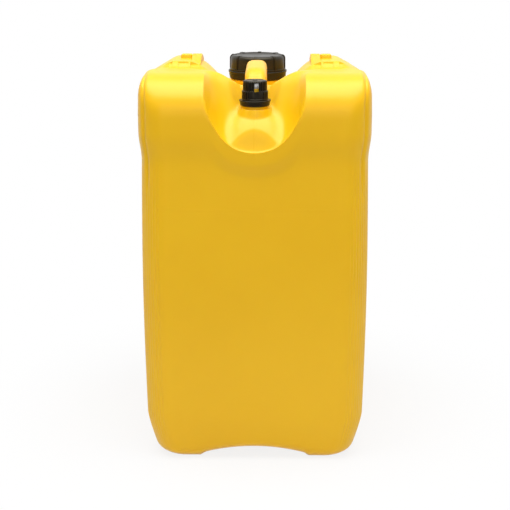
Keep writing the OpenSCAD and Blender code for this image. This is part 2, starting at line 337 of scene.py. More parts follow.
def grid_lines(fine):
    if fine:
        right = (spread(1.5, 24, 1.5) + spread(24, 62, 2) + spread(62, half_w - corner_r, 3)
                 + corner_lines(half_w, 36))
        back = corner_lines(half_d, 36)
        front = [-y for y in reversed(back)]
        middle = (spread(front[-1], -50, 2)[1:] + spread(-50, half_d - corner_r, 2.6))
    else:
        right = (spread(6, 60, 6) + spread(60, half_w - corner_r, 12)
                 + corner_lines(half_w, 4))
        back = corner_lines(half_d, 4)
        front = [-y for y in reversed(back)]
        middle = spread(front[-1], half_d - corner_r, 8)[1:]
    xs = np.array([-x for x in reversed(right)] + [0] + right)
    return xs, np.array(front + middle + back)


def wall_levels(fine):
    step = 1 if fine else 4
    return np.array(spread(edge_z, panel_top, 4 * step)[1:]
                    + spread(panel_top, chamfer_h, 9 * step)
                    + spread(chamfer_h, foot_r, 4 * step)
                    + [foot_r * (1 - math.sin(a)) for a in np.linspace(0, math.pi / 2, 4 + 5 // step)])


def round_plan(x, y):
    """Pulls the square corners of the grid in to the rounded plan."""
    s = np.maximum(0, (abs(x) - half_w + corner_r) / corner_r)
    t = np.maximum(0, (abs(y) - half_d + corner_r) / corner_r)
    return (np.sign(x) * (abs(x) - corner_r * s * (1 - np.sqrt(1 - t * t / 2))),
            np.sign(y) * (abs(y) - corner_r * t * (1 - np.sqrt(1 - s * s / 2))))


def corner_angle(px, py):
    """Angle round an upright corner, in degrees: 0 faces the end, 90 faces the side."""
    ax = np.maximum(0, abs(px) - half_w + corner_r)
    ay = np.maximum(0, abs(py) - half_d + corner_r)
    return np.degrees(np.arctan2(ax, np.maximum(ay, 1e-9)))


def flute_in(angle, z):
    """Depth of the upright flutes in a corner, and of the crease that runs on over the shoulder."""
    total = np.zeros_like(angle)
    for i in range(flute_count):
        middle = flute_first + i * flute_pitch
        total = total + np.exp(-((angle - middle) / flute_spread) ** 2)
    top_fade = ease(flute_top + flute_fade, flute_top - flute_fade, z)
    low_fade = ease(flute_low_start, flute_low_end, z)
    flutes = flute_depth * total * top_fade * low_fade
    section = np.exp(-((angle - crease_at) / crease_spread) ** 2)
    crease = crease_depth * section * ease(flute_top - crease_run, flute_top, z)
    return flutes + crease


def skin(fine, inset):
    """A closed skin of the tank, drawn in by inset: (points, faces)."""
    xs, ys = grid_lines(fine)
    nx, ny = len(xs) - 1, len(ys) - 1
    gx, gy = np.meshgrid(xs, ys, indexing="ij")

    def top(x, y):
        if not inset:
            return deck(x, y)
        around = [deck(x + dx, y + dy) for dx, dy in
                  ((0, 0), (inset, 0), (-inset, 0), (0, inset), (0, -inset))]
        return np.minimum.reduce(around) - inset

    def plan(x, y, z):
        px, py = round_plan(x, y)
        kx = (half_w - wall_in(z, chamfer_side) - inset) / half_w
        ky = (half_d - wall_in(z, chamfer_end) - inset) / half_d
        return px * kx, py * ky

    px, py = plan(gx, gy, edge_z)
    pz = top(gx, gy)
    if fine:
        at_rim = np.maximum((abs(gx) - half_w + corner_r) / corner_r,
                            (abs(gy) - half_d + corner_r) / corner_r)
        rx, ry = round_plan(gx, gy)
        angle = corner_angle(rx, ry)
        section = np.exp(-((abs(rx) - crease_x) / crease_w) ** 2)
        groove = crease_depth * section * ease(half_d - crease_far, half_d - crease_near, abs(ry))
        lean = ease(0.7, 1.0, at_rim)
        pz = pz - groove * (1 - lean)
        px = px - groove * lean * np.sin(np.radians(angle)) * np.sign(px)
        py = py - groove * lean * np.cos(np.radians(angle)) * np.sign(py)
    points = [np.stack([px, py, pz], axis=-1).reshape(-1, 3)]

    rim = ([(i, 0) for i in range(nx)] + [(nx, j) for j in range(ny)]
           + [(i, ny) for i in range(nx, 0, -1)] + [(0, j) for j in range(ny, 0, -1)])
    rim_n = len(rim)
    ri = np.array([c[0] for c in rim])
    rj = np.array([c[1] for c in rim])
    x_rim, y_rim = xs[ri], ys[rj]
    top_rim = top(x_rim, y_rim)
    rx, ry = round_plan(x_rim, y_rim)
    angle = corner_angle(rx, ry)
    on_corner = (abs(x_rim) > half_w - corner_r - 0.01) & (abs(y_rim) > half_d - corner_r - 0.01)
    # Above this height the levels of the wall bend with the height of the rim
    low = panel_top - rim_reach
    levels = wall_levels(fine)
    for z in levels:
        wx, wy = plan(x_rim, y_rim, z)
        if z > low:
            wz = low + (z - low) * (top_rim - low) / (edge_z - low)
        else:
            wz = z + (channel(wx) + inset) * max(0, 1 - z / chamfer_h)
        if fine:
            groove = np.where(on_corner, flute_in(angle, z), 0)
            wx = wx - groove * np.sin(np.radians(angle)) * np.sign(wx)
            wy = wy - groove * np.cos(np.radians(angle)) * np.sign(wy)
        points.append(np.stack([wx, wy, np.broadcast_to(wz, wx.shape)], axis=-1))
    top_n = (nx + 1) * (ny + 1)

    def top_id(i, j):
        return i * (ny + 1) + j

    def wall_id(r, p):
        p %= rim_n
        return top_id(*rim[p]) if r == 0 else top_n + (r - 1) * rim_n + p

    faces = [(top_id(i, j), top_id(i + 1, j), top_id(i + 1, j + 1), top_id(i, j + 1))
             for i in range(nx) for j in range(ny)]
    rows = len(levels)
    faces += [(wall_id(r, p), wall_id(r + 1, p), wall_id(r + 1, p + 1), wall_id(r, p + 1))
              for r in range(rows) for p in range(rim_n)]

    # Underside: strips across the channel, and one flat face for each foot
    last = points[-1]
    foot_x = channel_w / 2 + channel_out
    i_right = min(i for i in range(nx + 1) if last[i][0] >= foot_x)
    i_left = nx - i_right

    def back(i):
        return 2 * nx + ny - i

    for i in range(i_left, i_right):
        strip = (i, back(i), back(i + 1), i + 1)
        faces.append(tuple(wall_id(rows, p) for p in strip))
    faces.append([wall_id(rows, p) for p in range(back(i_right), i_right - 1, -1)])
    faces.append([wall_id(rows, p) for p in range(rim_n + i_left, back(i_left) - 1, -1)])
    return np.concatenate(points), faces


def placed(name, data):
    """A new object at the origin, linked into the scene."""
    obj = bpy.data.objects.new(name, data)
    bpy.context.scene.collection.objects.link(obj)
    return obj


def mesh_object(name, points, faces):
    """A mesh object with its faces turned outwards, from points in millimetres."""
    mesh = bpy.data.meshes.new(name)
    mesh.from_pydata((np.asarray(points, float) * MM).tolist(), [], faces)
    bm = bmesh.new()
    bm.from_mesh(mesh)
    bmesh.ops.remove_doubles(bm, verts=bm.verts, dist=1e-7)
    bmesh.ops.recalc_face_normals(bm, faces=bm.faces)
    bm.to_mesh(mesh)
    bm.free()
    return placed(name, mesh)


def prism(name, points):
    """A closed solid between two like outlines, which points lists one after the other."""
    n = len(points) // 2
    faces = [tuple(range(n)), tuple(range(2 * n - 1, n - 1, -1))]
    faces += [(i, i + n, (i + 1) % n + n, (i + 1) % n) for i in range(n)]
    return mesh_object(name, points, faces)


def grip_tube(inset, bend_steps=14, sides=40):
    """The grip: a tube with a rounded square section, swept along an arch."""
    half = (leg_back_y - leg_front_y) / 2
    middle = (leg_back_y + leg_front_y) / 2
    sunk, straight = 6, 4
    path = [(-half, hand_z - sunk, 90.0), (-half, hand_z + straight, 90.0)]
    for a in np.linspace(0, 90, bend_steps):
        turn = math.radians(a)
        path.append((-half + grip_bend * (1 - math.cos(turn)),
                     grip_z - grip_bend + grip_bend * math.sin(turn), 90 - a))
    path += [(-y, z, -a) for y, z, a in reversed(path)]
    points = []
    for y, z, a in path:
        turn = math.radians(a)
        for i in range(sides):
            t = 2 * math.pi * (i + 0.5) / sides
            c, s = math.cos(t), math.sin(t)
            k = (abs(c) ** grip_power + abs(s) ** grip_power) ** (-1 / grip_power)
            u = c * k * (grip_w / 2 - inset)
            v = s * k * (grip_t / 2 - inset)
            points.append((u, middle + y - v * math.sin(turn), z + v * math.cos(turn)))
    n = len(path)
    faces = [[i for i in range(sides)], [(n - 1) * sides + i for i in reversed(range(sides))]]
    for k in range(n - 1):
        for i in range(sides):
            a, b = k * sides + i, k * sides + (i + 1) % sides
            faces.append((a, a + sides, b + sides, b))
    return mesh_object("grip_form", points, faces)


def lathe(name, profile, sides, y_axis):
    """A closed solid turned about an upright axis. Profile: (radius, height) from axis to axis."""
    points = []
    rings = []
    for r, z in profile:
        if r < 1e-6:
            rings.append([len(points)])
            points.append((0, y_axis, z))
        else:
            rings.append(list(range(len(points), len(points) + sides)))
            points += [(r * math.cos(2 * math.pi * i / sides),
                        y_axis + r * math.sin(2 * math.pi * i / sides), z) for i in range(sides)]
    faces = []
    for lower, upper in zip(rings, rings[1:]):
        for i in range(sides):
            j = (i + 1) % sides
            a = lower if len(lower) > 1 else lower * sides
            b = upper if len(upper) > 1 else upper * sides
            face = []
            for corner in (a[i], a[j], b[j], b[i]):
                if corner not in face:
                    face.append(corner)
            if len(face) > 2:
                faces.append(face)
    if len(rings[0]) > 1 and len(rings[-1]) > 1:
        lower, upper = rings[-1], rings[0]
        for i in range(sides):
            j = (i + 1) % sides
            faces.append((lower[i], lower[j], upper[j], upper[i]))
    return mesh_object(name, points, faces)


def arc(cx, cz, r, start, end, count):
    """Points of an arc in the (radius, height) plane, angles in degrees."""
    return [(cx + r * math.cos(math.radians(a)), cz + r * math.sin(math.radians(a)))
            for a in np.linspace(start, end, count)]


def combine(target, tool, operation):
    """One boolean step on closed meshes. The tool is used up."""
    step = target.modifiers.new("form", "BOOLEAN")
    step.operation = operation
    step.object = tool
    step.solver = "MANIFOLD"
    settle(target)
    bpy.data.objects.remove(tool)


def settle(obj):
    """Applies an object's modifiers, so that it is one plain mesh."""
    graph = bpy.context.evaluated_depsgraph_get()
    graph.update()
    mesh = bpy.data.meshes.new_from_object(obj.evaluated_get(graph))
    obj.modifiers.clear()
    obj.data = mesh


def bevelled(obj, width, segments=2):
    """Rounds the sharp edges of a form. Width in millimetres."""
    edge = obj.modifiers.new("edge", "BEVEL")
    edge.width = width * MM
    edge.segments = segments
    edge.limit_method = "ANGLE"
    edge.angle_limit = math.radians(40)
    settle(obj)
    return obj


def locking_block(side):
    """The block on a rail: a step at its outer half, a ramp at its inner half."""
    inner_x = valley_w / 2 + 2
    split_x = inner_x + block_w * 0.48
    overlap = 0.02
    top_z = rail_z + block_rise
    end_z = rail_z - 3
    base_z = rail_z - 9
    back_y = -block_step + block_l
    ramp_half = (inner_x, split_x, -rail_front)
    step_half = (split_x - overlap, inner_x + block_w, -block_step - 1)
    parts = []
    for x0, x1, start_y in (ramp_half, step_half):
        outline = [(start_y, base_z), (start_y, end_z), (-block_step, top_z), (-block_step + 14, top_z - 1),
                   (back_y, end_z), (back_y, base_z)]
        form = prism("block_form", [(side * x, y, z) for x in (x0, x1) for y, z in outline])
        parts.append(bevelled(form, block_edge, 3))
    combine(parts[0], parts[1], "UNION")
    return parts[0]


def rail_pocket(x0, x1):
    """A cutter for a shallow recess in the sloping front end of a rail: it follows the slope."""
    steps = 6
    ys = np.linspace(-rail_front - 10, -rail_front - 2.5, steps)
    slope_z = deck(np.full(steps, (x0 + x1) / 2), ys)
    flare, lid = 0.6, 8
    outline = [(ys[0] - flare, slope_z[0] + 0.4)]
    outline += list(zip(ys, slope_z - pocket_depth))
    outline += [(ys[-1] + flare, slope_z[-1] + 0.4), (ys[-1], slope_z[-1] + lid), (ys[0], slope_z[0] + lid)]
    return prism("pocket_form", [(x, y, z) for x in (x0, x1) for y, z in outline])


def thread(radius, z_low, z_high, pitch, y_axis):
    """A screw thread standing on a neck: a closed ridge along a helix, faded at both ends."""
    per_turn = 64
    sunk = 0.4
    fade_steps = 8
    count = int((z_high - z_low) / pitch * per_turn)
    points = []
    for k in range(count + 1):
        a = 2 * math.pi * k / per_turn
        z = z_low + pitch * k / per_turn
        fade = min(1, k / fade_steps, (count - k) / fade_steps)
        out = radius - sunk + (thread_depth + sunk) * max(fade, 0.05)
        for r, dz in ((radius - sunk, -1.0), (out, -0.35), (out, 0.35), (radius - sunk, 1.0)):
            points.append((r * math.cos(a), y_axis + r * math.sin(a), z + dz))
    faces = [(0, 1, 2, 3), tuple(4 * count + i for i in (3, 2, 1, 0))]
    for k in range(count):
        for i in range(4):
            a, b = 4 * k + i, 4 * k + (i + 1) % 4
            faces.append((a, b, b + 4, a + 4))
    return mesh_object("thread_form", points, faces)


def neck(od, pad, rim, collar_r, collar_top, y_axis):
    """A neck with a rounded rim and the collar that its tamper band rests on, still without its bore."""
    root = pad - 3
    round_r = 0.7
    profile = [(0, root), (collar_r, root), (collar_r, collar_top - 0.5), (collar_r - 0.5, collar_top),
               (od / 2, collar_top)]
    profile += arc(od / 2 - round_r, rim - round_r, round_r, 0, 90, 5)
    profile += [(0, rim)]
    return lathe("neck_form", profile, 96, y_axis)


def build_tank():
    """The moulded tank: outer skin, grip, blocks, recesses, necks and threads, less its hollow inside."""
    body = mesh_object("tank_shell", *skin(True, 0))
    combine(body, grip_tube(0), "UNION")
    for side in (1, -1):
        combine(body, locking_block(side), "UNION")
        for near, far in pocket_spans:
            combine(body, rail_pocket(*sorted((side * near, side * far))), "DIFFERENCE")
    filler_r = filler_od / 2 - thread_depth
    vent_r = vent_od / 2 - thread_depth
    filler_collar_r = ring_d / 2 - collar_inset
    vent_collar_r = collar_d / 2 - collar_inset
    solids = [
        neck(2 * filler_r, pad_z, filler_rim, filler_collar_r, pad_z + filler_collar_h, filler_y),
        neck(2 * vent_r, pedestal_z, vent_rim, vent_collar_r, pedestal_z + vent_collar_h, vent_y),
        thread(filler_r, cap_low[2] + 2.5, filler_rim - 2.5, 6, filler_y),
        thread(vent_r, vent_low[2] + 1.5, vent_rim - 2, 3, vent_y)]
    for solid in solids:
        combine(body, solid, "UNION")
    inside = mesh_object("inside_form", *skin(False, wall))
    combine(inside, grip_tube(wall, 6, 16), "UNION")
    for bore, z0, z1, y_axis in ((filler_bore, pad_z - 12, filler_rim + 5, filler_y),
                                 (vent_bore, pedestal_z - 14, vent_rim + 5, vent_y)):
        cylinder = [(0, z0), (bore / 2, z0), (bore / 2, z1), (0, z1)]
        combine(inside, lathe("bore_form", cylinder, 96, y_axis), "UNION")
    combine(body, inside, "DIFFERENCE")
    return body


def shade(obj, degrees=38):
    """Smooth shading with sharp edges where faces meet at more than an angle."""
    mesh = obj.data
    mesh.shade_smooth()
    bm = bmesh.new()
    bm.from_mesh(mesh)
    limit = math.radians(degrees)
    for edge in bm.edges:
        edge.smooth = len(edge.link_faces) != 2 or edge.calc_face_angle(0) < limit
    bm.to_mesh(mesh)
    bm.free()


# Node groups and small helpers for the materials
def shader_group(name, inputs, outputs):
    group = bpy.data.node_groups.new(name, "ShaderNodeTree")
    for label, kind, value in inputs:
        socket = group.interface.new_socket(label, in_out="INPUT", socket_type="NodeSocket" + kind)
        socket.default_value = value
    for label, kind in outputs:
        group.interface.new_socket(label, in_out="OUTPUT", socket_type="NodeSocket" + kind)
    return group, group.nodes.new("NodeGroupInput"), group.nodes.new("NodeGroupOutput")


def node(tree, kind, inputs=None, **settings):
    """A new node. Each input is a value, or the socket that it is linked from."""
    made = tree.nodes.new(kind)
    for key, value in settings.items():
        setattr(made, key, value)
    for key, value in (inputs or {}).items():
        if hasattr(value, "is_linked"):
            tree.links.new(value, made.inputs[key])
        else:
            made.inputs[key].default_value = value
    return made


def maths(tree, operation, *values):
    made = node(tree, "ShaderNodeMath", dict(enumerate(values)), operation=operation)
    return made.outputs[0]


def ranged(tree, value, start, end=(0.0, 1.0), smooth=False):
    """Maps value from the range start to the range end."""
    given = {"Value": value, "From Min": start[0], "From Max": start[1], "To Min": end[0], "To Max": end[1]}
    kind = "SMOOTHSTEP" if smooth else "LINEAR"
    return node(tree, "ShaderNodeMapRange", given, interpolation_type=kind).outputs["Result"]


def band_mask(tree, value, centre, half, soft_edge):
    """1 within half of centre, falling to 0 over soft_edge."""
    away = maths(tree, "SUBTRACT", maths(tree, "ABSOLUTE", maths(tree, "SUBTRACT", value, centre)), half)
    return ranged(tree, away, (0.0, soft_edge), (1.0, 0.0), smooth=True)


def grain_group():
    """Fine moulded grain over a slow mottle."""
    group, given, result = shader_group(
        "moulded_grain",
        [("Grain Scale", "Float", 900.0), ("Mottle Scale", "Float", 9.0), ("Mottle", "Float", 0.5)],
        [("Height", "Float"), ("Tone", "Float")])
    place = node(group, "ShaderNodeTexCoord").outputs["Object"]
    fine = {"Vector": place, "Scale": given.outputs["Grain Scale"], "Detail": 2.0, "Roughness": 0.6}
    slow = {"Vector": place, "Scale": given.outputs["Mottle Scale"], "Detail": 3.0, "Roughness": 0.55}
    grain = node(group, "ShaderNodeTexNoise", fine)
    mottle = node(group, "ShaderNodeTexNoise", slow)
    centred = maths(group, "SUBTRACT", mottle.outputs["Fac"], 0.5)
    tone = maths(group, "ADD", 0.5, maths(group, "MULTIPLY", centred, given.outputs["Mottle"]))
    group.links.new(grain.outputs["Fac"], result.inputs["Height"])
    group.links.new(tone, result.inputs["Tone"])
    return group


def mould_line_group():
    """Height of the parting line over the top and of the faint insert line across the front."""
    group, given, result = shader_group(
        "mould_lines",
        [("Line Width", "Float", 0.0005), ("Insert Height", "Float", 0.28)], [("Height", "Float")])
    place = node(group, "ShaderNodeTexCoord").outputs["Object"]
    axes = node(group, "ShaderNodeSeparateXYZ", {"Vector": place}).outputs
    width = given.outputs["Line Width"]
    parting_edge, insert_edge = 0.0006, 0.0012
    insert_bow, insert_share = 0.27, 0.5
    parting = band_mask(group, axes["X"], 0.0, width, parting_edge)
    high_up = ranged(group, axes["Z"], (0.325, 0.35))
    low_down = ranged(group, axes["Z"], (0.02, 0.012))
    seam = maths(group, "MULTIPLY", parting, maths(group, "MAXIMUM", high_up, low_down))
    bow = maths(group, "MULTIPLY", maths(group, "MULTIPLY", axes["X"], axes["X"]), insert_bow)
    line_z = maths(group, "SUBTRACT", axes["Z"], bow)
    insert = band_mask(group, line_z, given.outputs["Insert Height"], width, insert_edge)
    both = maths(group, "ADD", seam, maths(group, "MULTIPLY", insert, insert_share))
    group.links.new(both, result.inputs["Height"])
    return group


def speck_group():
    """Small dark specks, sparse over the surface."""
    group, given, result = shader_group(
        "specks", [("Scale", "Float", 30.0), ("Size", "Float", 0.035)], [("Mask", "Float")])
    place = node(group, "ShaderNodeTexCoord").outputs["Object"]
    empty_share = 0.93
    layout = {"Vector": place, "Scale": given.outputs["Scale"], "Randomness": 1.0}
    cells = node(group, "ShaderNodeTexVoronoi", layout).outputs
    dot = ranged(group, cells["Distance"], (given.outputs["Size"], 0.0))
    chance = node(group, "ShaderNodeSeparateColor", {"Color": cells["Color"]}).outputs["Red"]
    pick = maths(group, "GREATER_THAN", chance, empty_share)
    group.links.new(maths(group, "MULTIPLY", dot, pick), result.inputs["Mask"])
    return group


GRAIN = grain_group()
LINES = mould_line_group()
SPECKS = speck_group()


def group_node(tree, group, values):
    made = tree.nodes.new("ShaderNodeGroup")
    made.node_tree = group
    for key, value in values.items():
        made.inputs[key].default_value = value
    return made


def new_material(name):
    material = bpy.data.materials.new(name)
    material.use_nodes = True
    tree = material.node_tree
    return material, tree, tree.nodes["Principled BSDF"]


def mix_colour(tree, factor, first, second):
    made = node(tree, "ShaderNodeMix", data_type="RGBA")
    tree.links.new(factor, made.inputs[0])
    for socket, value in ((made.inputs[6], first), (made.inputs[7], second)):
        if hasattr(value, "is_linked"):
            tree.links.new(value, socket)
        else:
            socket.default_value = value
    return made.outputs[2]


def satin(tree, bsdf, tone, smoothest, roughest, height, strength, depth):
    """Roughness between two values by tone, and a bump of the given depth in metres."""
    tree.links.new(ranged(tree, tone, (0.0, 1.0), (smoothest, roughest)), bsdf.inputs["Roughness"])
    bump = node(tree, "ShaderNodeBump", {"Height": height, "Strength": strength, "Distance": depth})
    tree.links.new(bump.outputs["Normal"], bsdf.inputs["Normal"])


def translucent(bsdf, weight, radius):
    bsdf.inputs["Subsurface Weight"].default_value = weight
    bsdf.inputs["Subsurface Radius"].default_value = radius
    bsdf.inputs["Subsurface Scale"].default_value = 1.0


def tank_plastic():
    """Yellow blow moulded polyethylene: satin, a little light within, faint mould lines."""
    material, tree, bsdf = new_material("yellow_polyethylene")
    grain = group_node(tree, GRAIN, {"Grain Scale": 700.0, "Mottle Scale": 7.0, "Mottle": 1.1}).outputs
    lines = group_node(tree, LINES, {"Line Width": 0.0004, "Insert Height": 0.28}).outputs
    specks = group_node(tree, SPECKS, {"Scale": 26.0, "Size": 0.03}).outputs
    grain_share, line_share = 0.10, 0.9
    tone = mix_colour(tree, grain["Tone"], (0.80, 0.44, 0.001, 1), (0.86, 0.50, 0.003, 1))
    colour = mix_colour(tree, specks["Mask"], tone, (0.30, 0.17, 0.02, 1))
    tree.links.new(colour, bsdf.inputs["Base Color"])
    raised = maths(tree, "ADD", maths(tree, "MULTIPLY", grain["Height"], grain_share),
                   maths(tree, "MULTIPLY", lines["Height"], line_share))
    satin(tree, bsdf, grain["Tone"], 0.34, 0.42, raised, 0.35, 0.0004)
    bsdf.inputs["Specular IOR Level"].default_value = 0.45
    bsdf.inputs["Specular Tint"].default_value = (1.0, 0.9, 0.75, 1)
    translucent(bsdf, 0.12, (0.006, 0.003, 0.0006))
    return material


def cap_plastic():
    """Black moulded polypropylene with a fine grain."""
    material, tree, bsdf = new_material("black_polypropylene")
    grain = group_node(tree, GRAIN, {"Grain Scale": 1500.0, "Mottle Scale": 60.0, "Mottle": 1.4}).outputs
    colour = mix_colour(tree, grain["Tone"], (0.009, 0.007, 0.005, 1), (0.019, 0.016, 0.012, 1))
    tree.links.new(colour, bsdf.inputs["Base Color"])
    satin(tree, bsdf, grain["Tone"], 0.26, 0.40, grain["Height"], 0.25, 0.0002)
    bsdf.inputs["Specular IOR Level"].default_value = 0.28
    bsdf.inputs["Specular Tint"].default_value = (1.0, 0.9, 0.62, 1)
    return material


def seal_plastic():
    """White low density polyethylene of the plug and the liner disc."""
    material, tree, bsdf = new_material("white_seal")
    grain = group_node(tree, GRAIN, {"Grain Scale": 1200.0, "Mottle Scale": 80.0, "Mottle": 0.8}).outputs
    colour = mix_colour(tree, grain["Tone"], (0.74, 0.74, 0.72, 1), (0.84, 0.84, 0.83, 1))
    tree.links.new(colour, bsdf.inputs["Base Color"])
    satin(tree, bsdf, grain["Tone"], 0.38, 0.5, grain["Height"], 0.2, 0.0002)
    translucent(bsdf, 0.15, (0.003, 0.003, 0.003))
    return material


YELLOW = tank_plastic()
BLACK = cap_plastic()
WHITE = seal_plastic()


# Geometry Nodes tree that sets copies of one form round an upright axis
def ring_tree():
    tree = bpy.data.node_groups.new("copies_round_axis", "GeometryNodeTree")
    face = tree.interface
    face.new_socket("Geometry", in_out="INPUT", socket_type="NodeSocketGeometry")
    for label, kind in (("Count", "Int"), ("Start", "Float"), ("Spacing", "Float"), ("Axis", "Vector"),
                        ("Material", "Material")):
        face.new_socket(label, in_out="INPUT", socket_type="NodeSocket" + kind)
    face.new_socket("Geometry", in_out="OUTPUT", socket_type="NodeSocketGeometry")
    given = tree.nodes.new("NodeGroupInput").outputs
    result = tree.nodes.new("NodeGroupOutput")
    points = node(tree, "GeometryNodePoints", {"Count": given["Count"], "Position": given["Axis"]})
    index = node(tree, "GeometryNodeInputIndex").outputs[0]
    turn = maths(tree, "ADD", given["Start"], maths(tree, "MULTIPLY", index, given["Spacing"]))
    angles = node(tree, "ShaderNodeCombineXYZ", {"Z": turn})
    layout = {"Points": points.outputs[0], "Instance": given["Geometry"], "Rotation": angles.outputs[0]}
    copies = node(tree, "GeometryNodeInstanceOnPoints", layout)
    real = node(tree, "GeometryNodeRealizeInstances", {"Geometry": copies.outputs[0]})
    finish = {"Geometry": real.outputs[0], "Material": given["Material"]}
    dressed = node(tree, "GeometryNodeSetMaterial", finish)
    tree.links.new(dressed.outputs[0], result.inputs[0])
    return tree


RING_TREE = ring_tree()


def ring_of(form, count, start, spacing, y_axis, material):
    """Sets copies of a form, built about the Z axis, round an upright axis. Angles in degrees."""
    step = form.modifiers.new("copies", "NODES")
    step.node_group = RING_TREE
    values = {"Count": count, "Start": math.radians(start), "Spacing": math.radians(spacing),
              "Axis": (0, y_axis * MM, 0), "Material": material}
    for item in RING_TREE.interface.items_tree:
        if item.in_out == "INPUT" and item.name in values:
            step[item.identifier] = values[item.name]
    settle(form)
    return form


def rib(inner, profile, width):
    """An upright rib that faces +X about the Z axis: profile is a list of (radius, height)."""
    outline = [(inner, profile[0][1])] + profile + [(inner, profile[-1][1])]
    return prism("rib_form", [(r, side * width / 2, z) for side in (-1, 1) for r, z in outline])


def finish_piece(obj, name, material, body, cad_node):
    """Gives a finished form its name, material and shading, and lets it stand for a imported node."""
    obj.name = name
    obj.data.name = name
    obj.data.materials.clear()
    obj.data.materials.append(material)
    shade(obj)
    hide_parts(cad_node)
    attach(obj, body)


def build_filler_cap():
    """The large cap: a dished top with a rolled edge, a skirt bead, and eight ribs down its side."""
    z0, z1 = cap_low[2], cap_high[2]
    rib_out = 1.1
    bead_out = 1.1
    radius = (cap_high[0] - cap_low[0]) / 2 - 1.2
    inner = filler_od / 2 + fit_gap
    roof = seal_high[2] + 0.2
    edge = 4.2
    profile = [(0, z1 - 0.7), (24.5, z1 - 0.7), (25.3, z1 - 0.1), (25.8, z1)]
    profile += arc(radius - edge, z1 - edge, edge, 80, 0, 7)
    profile += [(radius + 0.2, z0 + 2.4), (radius + 1.0, z0 + 2.0), (radius + bead_out, z0 + 1.6),
                (radius + bead_out, z0 + 0.3), (radius + 0.8, z0), (inner, z0), (inner, roof), (0, roof)]
    cap = lathe("cap_form", profile, 144, filler_y)
    rib_edge = [(radius + rib_out, z0 + 2.2)]
    rib_edge += arc(radius - edge, z1 - edge, edge + rib_out * 0.9, 0, 62, 7)
    form = bevelled(rib(radius - 7, rib_edge, 4.2), 0.35)
    combine(cap, ring_of(form, 8, -139, 45, filler_y, BLACK), "UNION")
    finish_piece(cap, "filler_cap_shell", BLACK, "filler_closure", "filler_cap")


def build_filler_band():
    """The tamper band under the large cap, with the stubs of its bridges on top."""
    z0, z1 = ring_low[2], ring_high[2]
    r = ring_d / 2
    inner = filler_od / 2 + fit_gap
    profile = [(inner, z0 + 0.4), (inner + 0.4, z0), (r - 2.2, z0), (r - 1.7, z0 + 0.4),
               (r - 0.9, z0 + 4.2), (r - 0.7, z1 - 2.6), (r - 0.1, z1 - 2.0), (r, z1 - 1.6),
               (r, z1 - 0.4), (r - 0.4, z1), (inner + 0.4, z1), (inner, z1 - 0.4)]
    band = lathe("band_form", profile, 144, filler_y)
    bridge = rib(r - 3, [(r - 0.45, z1 - 0.8), (r - 0.45, z1 + 0.16)], 1.6)
    combine(band, ring_of(bridge, 18, 7, 20, filler_y, BLACK), "UNION")
    finish_piece(band, "filler_band_ring", BLACK, "can", "filler_band")


def build_vent_cap():
    """The small cap: two ribbed tiers, a gate mark on top and a window in its front."""
    z0, z1 = vent_low[2], vent_high[2]
    tier = z0 + 9.4
    r_low = (vent_high[0] - vent_low[0]) / 2
    r_top = r_low - 1.1
    inner = vent_od / 2 + fit_gap
    out = 0.95
    roof = z1 - 2
    profile = [(0, z1 - 0.5), (r_top - 3.4, z1 - 0.5), (r_top - 2.8, z1)]
    profile += arc(r_top - out - 0.8, z1 - 0.8, 0.8, 80, 0, 4)
    profile += [(r_top - out, tier + 0.6), (r_low - out - 0.5, tier + 0.4), (r_low - out, tier - 0.3),
                (r_low - out, z0 + 1.6), (r_low - 0.2, z0 + 1.3), (r_low, z0 + 1.0), (r_low, z0 + 0.2),
                (r_low - 0.2, z0), (inner, z0), (inner, roof), (0, roof)]
    cap = lathe("vent_form", profile, 128, vent_y)
    rib_count, low_count = 32, 26
    pitch = 360 / rib_count
    upper = rib(r_top - 2, [(r_top, tier + 0.5), (r_top, z1 - 1.2), (r_top - 0.7, z1 - 0.4)], 1.1)
    combine(cap, ring_of(upper, rib_count, 5, pitch, vent_y, BLACK), "UNION")
    lower = rib(r_low - 2, [(r_low, z0 + 1.2), (r_low, tier - 0.7), (r_low - 0.7, tier - 0.2)], 1.25)
    combine(cap, ring_of(lower, low_count, -44, pitch, vent_y, BLACK), "UNION")
    mark_r, mark_low, mark_high = 2.6, z1 - 1.2, z1 - 0.02
    mark = [(0, mark_low), (mark_r, mark_low), (mark_r, z1 - 0.1), (mark_r - 0.4, mark_high),
            (0, mark_high)]
    combine(cap, lathe("gate_form", mark, 32, vent_y), "UNION")
    window_x, window_w, window_h = -0.4, 4.6, 8.8
    corners = ((0, 0), (0, 1), (1, 1), (1, 0))
    window = [(window_x + i * window_w, vent_y - 20 + j * 20, roof - window_h + k * window_h)
              for i in (0, 1) for j, k in corners]
    combine(cap, prism("window_form", window), "DIFFERENCE")
    finish_piece(cap, "vent_cap_shell", BLACK, "vent_closure", "vent_cap")


def build_vent_band():
    """The tamper band under the small cap."""
    z0, z1 = collar_low[2], collar_high[2]
    r = collar_d / 2
    inner = vent_od / 2 + fit_gap
    profile = [(inner, z0 + 0.3), (inner + 0.3, z0), (r - 1.6, z0), (r - 1.0, z0 + 0.5),
               (r - 0.7, z0 + 3.0), (r - 0.6, z1 - 1.7), (r - 0.1, z1 - 1.4), (r, z1 - 1.1),
               (r, z1 - 0.3), (r - 0.3, z1), (inner + 0.3, z1), (inner, z1 - 0.3)]
    band = lathe("band_form", profile, 112, vent_y)
    finish_piece(band, "vent_band_ring", BLACK, "can", "vent_band")


